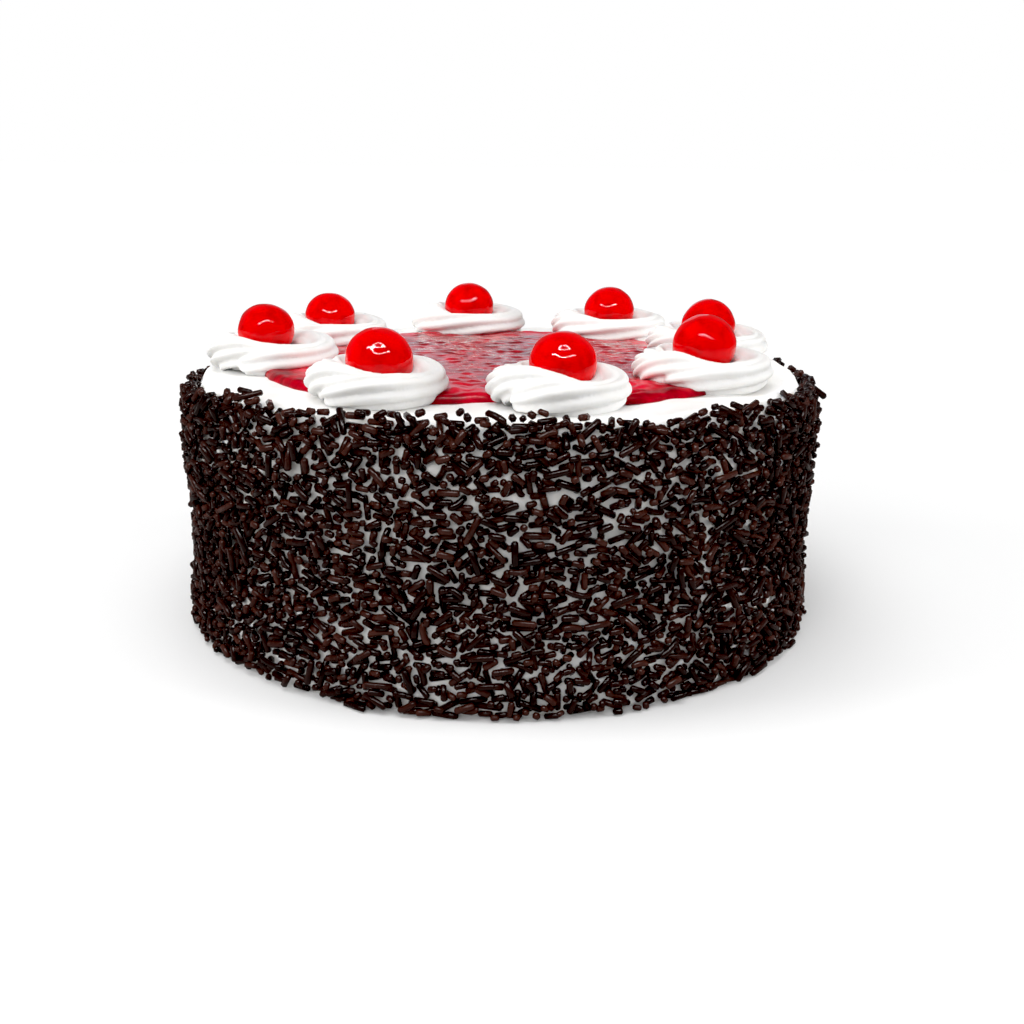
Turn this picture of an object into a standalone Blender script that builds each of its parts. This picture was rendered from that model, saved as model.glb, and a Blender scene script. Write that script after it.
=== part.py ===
"""A black forest cake: a round iced cake with a sprinkle coat, a pool of cherry gel on top,
eight piped cream rosettes over the gel's edge, and a candied cherry set in each.

Metres, +Z up. The origin is the middle of the cake's foot, on the surface it stands on.
"""

from math import asin, cos, pi, radians, sin, sqrt

import bmesh
import bpy
from mathutils import Vector

MM = 0.001

# The cake: an 8 inch sponge with its icing and its coat of sprinkles.
ICING_HEIGHT = 84.2 * MM  # the flat top inside the crown of sprinkles
CROWN_HEIGHT = 87.1 * MM  # the sprinkles piled round the rim
CROWN_FOOT_RADIUS = 99.6 * MM  # where the crown rises from the flat top
COAT_RADIUS = 107.3 * MM  # out to the face of the sprinkle coat, at the foot and the shoulder
WAIST_DEPTH = 1.7 * MM  # how far the coat draws in halfway up
SHOULDER_HEIGHT = 66.0 * MM  # where the side starts to round over to the top
SHOULDER_INSET = 7.0 * MM  # how far in the crown's ridge stands
FOOT_EASE = 0.8 * MM  # the coat's small round at the foot
FOOT_EASE_HEIGHT = 3.5 * MM
SIDE_SHARES = (0, 0.05, 0.2, 0.4, 0.6, 0.8)  # of the shoulder's height
SHOULDER_TURNS = (0, 26, 48, 66, 80, 90)  # degrees
CAKE_SEGMENTS = 52

# The gel: a spread pool with a rounded, uneven edge.
GEL_RADII_MM = (74, 68, 67, 67, 68, 71, 77, 83, 84, 73.5, 82.5, 84)  # each 30 degrees from +X
GEL_THICKNESS = 2.4 * MM
GEL_EDGE_ROUND = 1.8 * MM
GEL_EDGE_TURNS = (0, 45, 90)  # degrees
GEL_EDGE_WAVE = 0.6 * MM  # how far the edge wanders in and out
GEL_SEGMENTS = 40

# The rosettes: a ridged rope of cream piped round in a ring.
ROSETTE_COUNT = 8
FIRST_ROSETTE_AZIMUTH = -120.0  # degrees, anticlockwise from +X
ROSETTE_CIRCLE_RADIUS = 76.0 * MM  # from the cake's axis to a rosette's middle
ROPE_RING_RADIUS = 14.6 * MM  # from a rosette's middle to its rope's middle
ROPE_HALF_WIDTH = 7.4 * MM
ROPE_HALF_HEIGHT = 5.9 * MM
ROPE_RISE = 5.4 * MM  # from the icing to the rope's middle
ROPE_RIDGES = 9
RIDGE_DEPTH = 0.22  # share of the rope's half width
RIDGE_TWIST = 4  # ridges that climb past a fixed point of the rope in one turn of the ring
ROSETTE_SEGMENTS = 18

# The cherries: balls with a flattened foot, set down to the gel.
CHERRY_SEGMENTS = 14
CHERRY_RINGS = 5
CHERRY_SQUASH = 0.97  # height over width
CHERRY_FOOT_SHARE = 0.93  # at most, of the half height from the middle down to the foot

FIT_GAP = 0.3 * MM  # between two pieces that touch
GOLDEN_ANGLE = radians(137.5)  # turns each rosette's ridges to a new start

# What the baker's hand did at each place round the circle: the rosette's shift along the
# circle in degrees and outwards in mm, its size over the usual, then the cherry's shift from
# the rosette's middle along and outwards, its width, and its middle's height over the icing.
HAND_PLACED = (
    (2.0, 0.5, 1.00, 1.0, -0.5, 19.9, 11.3),
    (-2.0, 0.0, 0.97, 1.5, -0.5, 19.4, 11.8),
    (-1.5, -1.5, 1.02, 1.0, 0.0, 20.2, 12.3),
    (-1.5, -0.5, 1.01, 0.0, 0.5, 18.9, 11.5),
    (-3.5, -0.5, 1.02, 0.0, 0.0, 19.2, 11.2),
    (-4.0, -1.0, 1.04, -0.5, 0.0, 19.5, 10.9),
    (-0.5, -1.5, 1.00, 0.0, 0.5, 18.4, 10.6),
    (-5.0, 1.5, 0.99, -1.0, 2.0, 18.5, 12.2),
)


def clear_scene():
    """Removes whatever the scene holds."""
    for obj in list(bpy.data.objects):
        bpy.data.objects.remove(obj, do_unlink=True)


def food_material(name, colour, roughness):
    """A Principled material in one plain colour."""
    material = bpy.data.materials.new(name)
    material.use_nodes = True
    shader = material.node_tree.nodes["Principled BSDF"]
    shader.inputs["Base Color"].default_value = (*colour, 1.0)
    shader.inputs["Roughness"].default_value = roughness
    shader.inputs["Metallic"].default_value = 0.0
    return material


def circle(radius, height, count):
    """Points once round +Z. The radius is a number or a function of the azimuth in radians."""
    points = []
    for i in range(count):
        azimuth = 2 * pi * i / count
        reach = radius(azimuth) if callable(radius) else radius
        points.append(Vector((reach * cos(azimuth), reach * sin(azimuth), height)))
    return points


def bridge(mesh, lower, upper, shift=0):
    """Quads between two loops of the same length, the upper one stepped on by shift."""
    count = len(lower)
    for i in range(count):
        j = (i + 1) % count
        mesh.faces.new((lower[i], lower[j], upper[(j + shift) % count], upper[(i + shift) % count]))


def add_object(name, mesh, material):
    """Links the built mesh to the scene as one object, smooth but for its sharp edges."""
    data = bpy.data.meshes.new(name)
    bmesh.ops.recalc_face_normals(mesh, faces=mesh.faces)
    mesh.to_mesh(data)
    mesh.free()
    data.shade_smooth()
    data.set_sharp_from_angle(angle=radians(55))
    data.materials.append(material)
    made = bpy.data.objects.new(name, data)
    bpy.context.scene.collection.objects.link(made)
    return made


def stacked_object(name, rings, material, tip=None):
    """One closed object skinned over rings from its flat foot up to a flat top or a tip."""
    mesh = bmesh.new()
    loops = [[mesh.verts.new(point) for point in points] for points in rings]
    for lower, upper in zip(loops, loops[1:]):
        bridge(mesh, lower, upper)
    mesh.faces.new(loops[0][::-1])
    top = loops[-1]
    if tip is None:
        mesh.faces.new(top)
    else:
        crown = mesh.verts.new(tip)
        for i, point in enumerate(top):
            mesh.faces.new((point, top[(i + 1) % len(top)], crown))
    return add_object(name, mesh, material)


def cut_away(piece, cutter):
    """Takes the cutter's volume out of the piece, and keeps the cutter out of the renders."""
    cutter.hide_render = True
    cutter.display_type = "WIRE"
    cut = piece.modifiers.new("Cut by " + cutter.name, "BOOLEAN")
    cut.operation = "DIFFERENCE"
    cut.solver = "EXACT"
    cut.object = cutter


def coat_radius(height):
    """The coat's radius up to the shoulder: drawn in halfway up and eased at the foot."""
    waist = WAIST_DEPTH * sin(pi * height / SHOULDER_HEIGHT) ** 2
    ease = FOOT_EASE * max(0.0, 1 - height / FOOT_EASE_HEIGHT) ** 2
    return COAT_RADIUS - waist - ease


def build_cake(material):
    """The iced cake out to its sprinkle coat, whose crown stands up round the flat top."""
    side = [SHOULDER_HEIGHT * share for share in SIDE_SHARES]
    rings = [circle(coat_radius(height), height, CAKE_SEGMENTS) for height in side]
    for degrees in SHOULDER_TURNS:
        turn = radians(degrees)
        radius = COAT_RADIUS - SHOULDER_INSET * (1 - cos(turn))
        height = SHOULDER_HEIGHT + (CROWN_HEIGHT - SHOULDER_HEIGHT) * sin(turn)
        rings.append(circle(radius, height, CAKE_SEGMENTS))
    rings.append(circle(CROWN_FOOT_RADIUS, ICING_HEIGHT, CAKE_SEGMENTS))
    return stacked_object("iced_cake", rings, material)


def gel_edge(azimuth, inset):
    """The gel's radius less an inset, eased from one spread-out radius to the next."""
    count = len(GEL_RADII_MM)
    place = azimuth % (2 * pi) / (2 * pi) * count
    before = int(place) % count
    share = (1 - cos(pi * (place - int(place)))) / 2
    radius = GEL_RADII_MM[before] * (1 - share) + GEL_RADII_MM[(before + 1) % count] * share
    return radius * MM + GEL_EDGE_WAVE * sin(9 * azimuth + 2.1) - inset


def gel_object(name, grown, material):
    """The gel pool, or the same shape grown all round to cut a seat for it."""
    base = ICING_HEIGHT + FIT_GAP - 2 * grown
    top = ICING_HEIGHT + FIT_GAP + GEL_THICKNESS + grown
    rings = [circle(lambda azimuth: gel_edge(azimuth, -grown), base, GEL_SEGMENTS)]
    for degrees in GEL_EDGE_TURNS:
        turn = radians(degrees)
        inset = GEL_EDGE_ROUND * (1 - cos(turn)) - grown
        height = top - GEL_EDGE_ROUND * (1 - sin(turn))
        rings.append(circle(lambda azimuth: gel_edge(azimuth, inset), height, GEL_SEGMENTS))
    return stacked_object(name, rings, material)


def rope_section(azimuth, start):
    """The rope's ridged outline where it crosses one azimuth of its ring, flat underneath."""
    points = []
    for step in range(2 * ROPE_RIDGES):
        turn = (pi * step + RIDGE_TWIST * azimuth + start) / ROPE_RIDGES
        swell = 1 - RIDGE_DEPTH * (step % 2)
        reach = ROPE_RING_RADIUS + ROPE_HALF_WIDTH * swell * cos(turn)
        height = max(FIT_GAP, ROPE_RISE + ROPE_HALF_HEIGHT * swell * sin(turn))
        points.append(Vector((reach * cos(azimuth), reach * sin(azimuth), height)))
    return points


def rosette_object(number, size, material):
    """A closed ring of ridged rope, its ridges climbing anticlockwise from outside to inside."""
    mesh = bmesh.new()
    loops = []
    for i in range(ROSETTE_SEGMENTS):
        section = rope_section(2 * pi * i / ROSETTE_SEGMENTS, GOLDEN_ANGLE * number)
        loops.append([mesh.verts.new(Vector((size * p.x, size * p.y, p.z))) for p in section])
    for first, second in zip(loops, loops[1:]):
        bridge(mesh, first, second)
    bridge(mesh, loops[-1], loops[0], shift=2 * RIDGE_TWIST)
    return add_object(f"rosette_{number}", mesh, material)


def cherry_object(name, width, drop, material):
    """A slightly squashed ball round its own middle, cut flat at drop below it."""
    radius = width / 2
    half_height = radius * CHERRY_SQUASH
    first = asin(-drop / half_height)
    rings = []
    for i in range(CHERRY_RINGS):
        turn = first + (pi / 2 - first) * i / CHERRY_RINGS
        rings.append(circle(radius * cos(turn), half_height * sin(turn), CHERRY_SEGMENTS))
    return stacked_object(name, rings, material, tip=Vector((0, 0, half_height)))


def placed(azimuth, reach, rise):
    """The point at an azimuth, a reach from the cake's axis and a rise over the icing."""
    return Vector((reach * cos(azimuth), reach * sin(azimuth), ICING_HEIGHT + rise))


def build_rosette(number, hand, cream, candied, gel_cutter):
    """One rosette cut to sit over the gel's edge, with its cherry in a socket of its own."""
    turned, outwards, size, cherry_along, cherry_outwards, cherry_width, cherry_rise = hand
    azimuth = radians(FIRST_ROSETTE_AZIMUTH + (number - 1) * 360 / ROSETTE_COUNT + turned)
    reach = ROSETTE_CIRCLE_RADIUS + outwards * MM
    rosette = rosette_object(number, size, cream)
    rosette.location = placed(azimuth, reach, 0.0)

    width = cherry_width * MM
    rise = cherry_rise * MM
    half_height = width / 2 * CHERRY_SQUASH
    drop = min(rise - GEL_THICKNESS - 2 * FIT_GAP, half_height * CHERRY_FOOT_SHARE)
    across = (reach + cherry_outwards * MM, cherry_along * MM)
    cherry_azimuth = azimuth + across[1] / across[0]
    middle = placed(cherry_azimuth, sqrt(across[0] ** 2 + across[1] ** 2), rise)
    cherry = cherry_object(f"cherry_{number}", width, drop, candied)
    cherry.location = middle
    socket = cherry_object(f"socket_cutter_{number}", width + 2 * FIT_GAP, drop + FIT_GAP, cream)
    socket.location = middle
    cut_away(rosette, gel_cutter)
    cut_away(rosette, socket)


def main():
    """Builds the cake from the foot up."""
    clear_scene()
    coat = food_material("sprinkled icing", (0.06, 0.028, 0.022), 0.5)
    gel = food_material("cherry gel", (0.55, 0.005, 0.02), 0.12)
    cream = food_material("piped cream", (0.9, 0.89, 0.86), 0.55)
    candied = food_material("candied cherry", (0.68, 0.002, 0.006), 0.1)

    build_cake(coat)
    gel_object("cherry_gel", 0.0, gel)
    gel_cutter = gel_object("gel_seat_cutter", FIT_GAP, gel)
    for index, hand in enumerate(HAND_PLACED):
        build_rosette(index + 1, hand, cream, candied, gel_cutter)


main()
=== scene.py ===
"""The looks of a black forest cake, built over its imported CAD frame.

White icing stands on the foot at z = 0, chocolate sprinkles are strewn over its side and
shoulder, cherry gel lies on the top, and each piped rosette holds a candied cherry. Sizes are
in metres unless a name ends in _MM or a docstring says so.
"""

from __future__ import annotations

import logging
from dataclasses import dataclass, field
from enum import Enum
from math import cos, degrees, pi, radians, sin

import bmesh
import bpy
import numpy as np
from mathutils import Euler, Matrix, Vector

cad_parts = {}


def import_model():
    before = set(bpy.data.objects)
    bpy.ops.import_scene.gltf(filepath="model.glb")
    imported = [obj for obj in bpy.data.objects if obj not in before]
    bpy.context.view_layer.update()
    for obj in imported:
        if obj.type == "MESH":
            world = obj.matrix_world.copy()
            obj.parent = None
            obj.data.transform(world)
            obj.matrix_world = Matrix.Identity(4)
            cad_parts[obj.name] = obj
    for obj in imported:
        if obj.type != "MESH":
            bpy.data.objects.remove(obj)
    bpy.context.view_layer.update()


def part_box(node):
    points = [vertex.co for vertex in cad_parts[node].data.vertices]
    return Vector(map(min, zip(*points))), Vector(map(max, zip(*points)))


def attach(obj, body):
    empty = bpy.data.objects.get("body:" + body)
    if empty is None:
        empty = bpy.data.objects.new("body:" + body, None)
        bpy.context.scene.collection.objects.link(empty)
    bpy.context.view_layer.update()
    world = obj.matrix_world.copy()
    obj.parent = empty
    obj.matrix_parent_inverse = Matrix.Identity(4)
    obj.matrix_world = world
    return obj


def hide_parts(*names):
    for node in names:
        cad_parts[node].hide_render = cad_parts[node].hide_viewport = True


MM = 0.001
TURN = 2 * pi
BODY = "root"
LOG = logging.getLogger("cake")

Colour = tuple[float, float, float]


class Slot(Enum):
    """The record's material slots."""

    ICING = "icing"
    SPRINKLES = "sprinkles"
    GEL = "gel"
    CREAM = "cream"
    CHERRY = "cherry"


# ---------------------------------------------------------------- shader maths


class Signal:
    """A number that varies over a surface, carried by a shader socket."""

    def __init__(self, graph: MaterialGraph, socket: bpy.types.NodeSocket) -> None:
        """Wraps a socket of a graph's node."""
        self.graph = graph
        self.socket = socket

    def _math(self, operation: str, first: Operand, second: Operand, clamp: bool = False) -> Signal:
        """Adds one Math node.

        Args:
            operation: The node's operation.
            first: Its upper operand.
            second: Its lower operand.
            clamp: Whether the result is kept from 0 to 1.

        Returns:
            The node's result.
        """
        settings = {"operation": operation, "use_clamp": clamp}
        made = self.graph.node("ShaderNodeMath", settings, {0: first, 1: second})
        return Signal(self.graph, made.outputs[0])

    def __add__(self, other: Operand) -> Signal:
        """self + other."""
        return self._math("ADD", self, other)

    def __radd__(self, other: Operand) -> Signal:
        """other + self."""
        return self._math("ADD", other, self)

    def __sub__(self, other: Operand) -> Signal:
        """self - other."""
        return self._math("SUBTRACT", self, other)

    def __rsub__(self, other: Operand) -> Signal:
        """other - self."""
        return self._math("SUBTRACT", other, self)

    def __mul__(self, other: Operand) -> Signal:
        """self * other."""
        return self._math("MULTIPLY", self, other)

    def __rmul__(self, other: Operand) -> Signal:
        """other * self."""
        return self._math("MULTIPLY", other, self)

    def clamped(self) -> Signal:
        """The same number kept from 0 to 1."""
        return self._math("ADD", self, 0.0, clamp=True)

    def between(self, low: float, high: float) -> Signal:
        """A smooth mask.

        Args:
            low: The value at or under which the mask is 0.
            high: The value at or over which it is 1.

        Returns:
            The mask.
        """
        settings = {"interpolation_type": "SMOOTHSTEP", "clamp": True}
        made = self.graph.node("ShaderNodeMapRange", settings, {0: self, 1: low, 2: high})
        return Signal(self.graph, made.outputs[0])


Operand = float | Signal


class MaterialGraph:
    """A node material under construction."""

    def __init__(self, name: str) -> None:
        """Starts an empty material of that name."""
        self.material = bpy.data.materials.new(name)
        self.material.use_nodes = True
        self.tree = self.material.node_tree
        self.tree.nodes.clear()
        self.place = self.node("ShaderNodeTexCoord", {}, {}).outputs["Object"]

    def node(self, kind: str, settings: dict, inputs: dict) -> bpy.types.Node:
        """Adds any node.

        Args:
            kind: The node's type name.
            settings: Its properties, set before its sockets. "stops" sets a ramp's colours.
            inputs: Socket names or numbers to values, signals or sockets.

        Returns:
            The node.
        """
        made = self.tree.nodes.new(kind)
        for key, value in settings.items():
            if key == "stops":
                self._set_stops(made.color_ramp, value)
            else:
                setattr(made, key, value)
        for key, value in inputs.items():
            source = value.socket if isinstance(value, Signal) else value
            if isinstance(source, bpy.types.NodeSocket):
                self.tree.links.new(source, made.inputs[key])
            elif isinstance(source, tuple) and made.inputs[key].type == "RGBA":
                made.inputs[key].default_value = (*source, 1.0)
            else:
                made.inputs[key].default_value = source
        return made

    @staticmethod
    def _set_stops(ramp: bpy.types.ColorRamp, stops: list[tuple[float, Colour]]) -> None:
        """Gives a ramp its stops.

        Args:
            ramp: The ramp, new, with two stops.
            stops: Positions and colours, at least two.
        """
        while len(ramp.elements) < len(stops):
            ramp.elements.new(0.5)
        for element, (position, colour) in zip(ramp.elements, stops):
            element.position = position
            element.color = (*colour, 1.0)

    def noise(self, grain: float, detail: float = 2.0, stretch: Colour = (1.0, 1.0, 1.0)) -> Signal:
        """Cloudy noise fixed to the piece.

        Args:
            grain: The size of its clouds.
            detail: How many finer layers it has.
            stretch: How many times longer the clouds are along X, Y and Z.

        Returns:
            The noise, about 0 to 1.
        """
        squeeze = tuple(1 / factor for factor in stretch)
        place = self.node("ShaderNodeMapping", {}, {"Vector": self.place, "Scale": squeeze})
        inputs = {"Vector": place.outputs[0], "Scale": 1 / grain, "Detail": detail}
        made = self.node("ShaderNodeTexNoise", {}, inputs)
        return Signal(self, made.outputs[0])

    def height(self) -> Signal:
        """Height over the foot."""
        split = self.node("ShaderNodeSeparateXYZ", {}, {0: self.place})
        return Signal(self, split.outputs[2])

    def blend(self, mask: Operand, low: Colour | bpy.types.NodeSocket, high: Colour) -> bpy.types.NodeSocket:
        """Mixes two colours.

        Args:
            mask: Where the second colour shows.
            low: The colour at mask 0.
            high: The colour at mask 1.

        Returns:
            The mixed colour's socket.
        """
        made = self.node("ShaderNodeMix", {"data_type": "RGBA"}, {0: mask, 6: low, 7: high})
        return made.outputs[2]

    def bump(self, relief: Signal, depth: float, strength: float = 1.0) -> bpy.types.NodeSocket:
        """Surface relief too fine for the mesh.

        Args:
            relief: Heights from 0 to 1.
            depth: What a height of 1 measures.
            strength: How much of it shows.

        Returns:
            The normal's socket.
        """
        inputs = {"Height": relief, "Distance": depth, "Strength": strength}
        return self.node("ShaderNodeBump", {}, inputs).outputs[0]

    def finish(self, inputs: dict) -> bpy.types.Material:
        """Closes the graph with a Principled shader.

        Args:
            inputs: The shader's socket values, signals and sockets.

        Returns:
            The material.
        """
        shader = self.node("ShaderNodeBsdfPrincipled", {}, inputs)
        self.node("ShaderNodeOutputMaterial", {}, {"Surface": shader.outputs[0]})
        return self.material


# -------------------------------------------------------------------- finishes


@dataclass(frozen=True)
class SprinkleFinish:
    """Dark chocolate vermicelli with a soft sheen, each rod a shade of its own."""

    dark: Colour = (0.0055, 0.001, 0.0008)
    mid: Colour = (0.018, 0.0046, 0.0035)
    light: Colour = (0.066, 0.021, 0.015)
    roughness: float = 0.24

    def material(self) -> bpy.types.Material:
        """Builds the finish."""
        graph = MaterialGraph("chocolate_sprinkles")
        island = graph.node("ShaderNodeNewGeometry", {}, {}).outputs["Random Per Island"]
        mottle = graph.noise(1.1 * MM, detail=3.0)
        shade = (Signal(graph, island) * 0.7 + mottle * 0.35).clamped()
        stops = [(0.1, self.dark), (0.58, self.mid), (1.0, self.light)]
        colour = graph.node("ShaderNodeValToRGB", {"stops": stops}, {0: shade}).outputs[0]
        grain = graph.noise(0.35 * MM, detail=2.0)
        return graph.finish(
            {
                "Base Color": colour,
                "Roughness": self.roughness + (mottle - 0.5) * 0.25,
                "Specular IOR Level": 0.35,
                "Normal": graph.bump(grain, 0.06 * MM, 0.45),
            }
        )


@dataclass(frozen=True)
class CreamFinish:
    """Whipped cream: white, soft, faintly translucent, with fine pores."""

    name: str
    colour: Colour = (0.785, 0.784, 0.775)
    shade: Colour = (0.745, 0.737, 0.718)
    roughness: float = 0.5
    subsurface: float = 0.3
    pore_depth: float = 0.05 * MM

    def material(self) -> bpy.types.Material:
        """Builds the finish."""
        graph = MaterialGraph(self.name)
        patches = graph.noise(9 * MM, detail=3.0).between(0.35, 0.7)
        pores = graph.noise(0.5 * MM, detail=3.0)
        swirl = graph.noise(2.6 * MM, detail=2.0)
        return graph.finish(
            {
                "Base Color": graph.blend(patches, self.colour, self.shade),
                "Roughness": self.roughness + (swirl - 0.5) * 0.15,
                "Specular IOR Level": 0.25,
                "Subsurface Weight": self.subsurface,
                "Subsurface Radius": (1.0, 0.92, 0.8),
                "Subsurface Scale": 1.0 * MM,
                "Normal": graph.bump(pores * 0.5 + swirl, self.pore_depth, 0.7),
            }
        )


@dataclass(frozen=True)
class GelFinish:
    """Cherry gel: deep red, wet, brighter where it is thin and stirred, with painted shade darkening its
    outer rim.
    """

    deep: Colour = (0.15, 0.0, 0.004)
    mid: Colour = (0.47, 0.001, 0.014)
    thin: Colour = (0.8, 0.008, 0.04)
    shiny_reach: float = 48 * MM
    dull_reach: float = 76 * MM
    shaded_rim_reach: float = 82 * MM

    def material(self) -> bpy.types.Material:
        """Builds the finish."""
        graph = MaterialGraph("cherry_gel_glaze")
        pools = graph.noise(14 * MM, detail=4.0)
        streaks = graph.noise(4.2 * MM, detail=3.0, stretch=(1.6, 1.0, 1.0))
        flat = graph.node("ShaderNodeVectorMath", {"operation": "MULTIPLY"}, {0: graph.place, 1: (1, 1, 0)})
        reach = graph.node("ShaderNodeVectorMath", {"operation": "LENGTH"}, {0: flat.outputs[0]})
        reach = Signal(graph, reach.outputs["Value"])
        outer = reach.between(self.shiny_reach, self.dull_reach)
        # painted shade: the pool's outer rim is darkened, standing in for the shadow of the rosettes along
        # its edge; the coat is thinner there too
        rim = reach.between(self.shaded_rim_reach - 18 * MM, self.shaded_rim_reach)
        shade = (pools * 0.55 + streaks * 0.6 + outer * 0.34 - rim * 0.42).between(0.34, 0.96)
        stops = [(0.0, self.deep), (0.5, self.mid), (1.0, self.thin)]
        colour = graph.node("ShaderNodeValToRGB", {"stops": stops}, {0: shade}).outputs[0]
        wet = graph.noise(2.2 * MM, detail=2.0) * (0.5 + outer)
        return graph.finish(
            {
                "Base Color": colour,
                "Roughness": 0.3 + streaks * 0.12,
                "Specular IOR Level": 0.1,
                "Subsurface Weight": 0.25,
                "Subsurface Radius": (1.0, 0.12, 0.1),
                "Subsurface Scale": 3.0 * MM,
                "Coat Weight": 1 - outer * 0.35 - rim * 0.6,
                "Coat Roughness": 0.03,
                "Normal": graph.bump(wet, 0.24 * MM, 0.35),
            }
        )


@dataclass(frozen=True)
class CherryFinish:
    """Candied cherry: saturated red flesh under a clear sticky skin."""

    flesh: Colour = (0.64, 0.0, 0.002)
    deep: Colour = (0.4, 0.0, 0.001)

    def material(self) -> bpy.types.Material:
        """Builds the finish."""
        graph = MaterialGraph("candied_cherry_skin")
        veins = graph.noise(5 * MM, detail=4.0).between(0.4, 0.8)
        skin = graph.noise(1.8 * MM, detail=2.0)
        return graph.finish(
            {
                "Base Color": graph.blend(veins, self.flesh, self.deep),
                "Roughness": 0.3,
                "Specular IOR Level": 0.0,
                "Subsurface Weight": 0.3,
                "Subsurface Radius": (1.0, 0.06, 0.05),
                "Subsurface Scale": 4.0 * MM,
                "Coat Weight": 1.0,
                "Coat Roughness": 0.015,
                "Coat IOR": 1.35,
                "Normal": graph.bump(skin, 0.1 * MM, 0.5),
            }
        )


@dataclass(frozen=True)
class FloorFinish:
    """The plain pale floor, which fades into the backdrop and throws little light back up."""

    colour: Colour = (0.9, 0.9, 0.9)
    under: Colour = (0.3, 0.29, 0.28)
    fade_from: float = 0.14
    fade_to: float = 0.34

    def material(self) -> bpy.types.Material:
        """Builds the finish."""
        graph = MaterialGraph("pale_floor")
        away = graph.node("ShaderNodeVectorMath", {"operation": "LENGTH"}, {0: graph.place})
        faded = Signal(graph, away.outputs["Value"]).between(self.fade_from, self.fade_to)
        black = (0.0, 0.0, 0.0)
        seen = {
            "Base Color": graph.blend(faded, self.colour, black),
            "Roughness": 0.8,
            "Specular IOR Level": 0.1,
            "Emission Color": graph.blend(faded, black, (1.0, 1.0, 1.0)),
            "Emission Strength": 1.0,
        }
        pale = graph.node("ShaderNodeBsdfPrincipled", {}, seen)
        dull = graph.node("ShaderNodeBsdfDiffuse", {}, {"Color": self.under})
        ray = graph.node("ShaderNodeLightPath", {}, {}).outputs["Is Camera Ray"]
        either = graph.node(
            "ShaderNodeMixShader", {}, {0: ray, 1: dull.outputs[0], 2: pale.outputs[0]}
        )
        graph.node("ShaderNodeOutputMaterial", {}, {"Surface": either.outputs[0]})
        return graph.material


# ------------------------------------------------------------------ mesh tools


def quad_grid(rows: int, columns: int, wrap: bool) -> np.ndarray:
    """Corner numbers of the quads between a grid's points.

    Args:
        rows: How many rows the grid has.
        columns: How many points a row has.
        wrap: Whether each row is closed into a ring.

    Returns:
        One row of four corner numbers for each quad, anticlockwise.
    """
    row, column = np.meshgrid(
        np.arange(rows - 1), np.arange(columns if wrap else columns - 1), indexing="ij"
    )
    after = (column + 1) % columns
    corners = (
        row * columns + column,
        row * columns + after,
        (row + 1) * columns + after,
        (row + 1) * columns + column,
    )
    return np.stack(corners, axis=-1).reshape(-1, 4)


def add_mesh(name: str, points: np.ndarray, faces: list[np.ndarray]) -> bpy.types.Object:
    """Makes one smooth object.

    Args:
        name: The object's name.
        points: Its vertices, one a row.
        faces: Arrays of corner numbers. Each array holds faces of one size.

    Returns:
        The linked object.
    """
    data = bpy.data.meshes.new(name)
    corners = np.concatenate([part.ravel() for part in faces]).astype(np.int32)
    sizes = np.concatenate([np.full(len(part), part.shape[1]) for part in faces])
    starts = np.concatenate(([0], np.cumsum(sizes)[:-1])).astype(np.int32)
    data.vertices.add(len(points))
    data.vertices.foreach_set("co", np.ascontiguousarray(points, dtype=np.float32).ravel())
    data.loops.add(len(corners))
    data.loops.foreach_set("vertex_index", corners)
    data.polygons.add(len(sizes))
    data.polygons.foreach_set("loop_start", starts)
    data.update(calc_edges=True)
    data.validate()
    data.shade_smooth()
    made = bpy.data.objects.new(name, data)
    bpy.context.scene.collection.objects.link(made)
    return made


def dress(piece: bpy.types.Object, material: bpy.types.Material) -> None:
    """Gives a piece its material and its body.

    Args:
        piece: The piece.
        material: Its finish.
    """
    piece.data.materials.clear()
    piece.data.materials.append(material)
    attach(piece, BODY)
    triangles = sum(len(face.vertices) - 2 for face in piece.data.polygons)
    LOG.info("%s: %d triangles", piece.name, triangles)


def smooth_step(value: np.ndarray | float, low: float, high: float) -> np.ndarray | float:
    """Eases from 0 at low to 1 at high.

    Args:
        value: Where to read it.
        low: Where the rise begins.
        high: Where it ends.

    Returns:
        The eased share.
    """
    share = np.clip((value - low) / (high - low), 0.0, 1.0)
    return share * share * (3 - 2 * share)


class Ripples:
    """Smooth random relief in space, made of plane waves."""

    def __init__(self, seed: int, shortest: float, longest: float, count: int = 28) -> None:
        """Draws the waves.

        Args:
            seed: What the draw starts from.
            shortest: The shortest wavelength.
            longest: The longest wavelength.
            count: How many waves there are.
        """
        draw = np.random.default_rng(seed)
        heading = draw.normal(size=(count, 3))
        heading /= np.linalg.norm(heading, axis=1, keepdims=True)
        wavelength = shortest * (longest / shortest) ** draw.random(count)
        self.waves = (heading * (TURN / wavelength)[:, None]).T
        self.phases = draw.random(count) * TURN
        self.scale = (2 / count) ** 0.5

    def __call__(self, points: np.ndarray) -> np.ndarray:
        """Reads the relief.

        Args:
            points: Places, one a row.

        Returns:
            Heights with a spread of about 1.
        """
        return np.cos(points @ self.waves + self.phases).sum(axis=1) * self.scale


# ------------------------------------------------------------------- the icing


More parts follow.
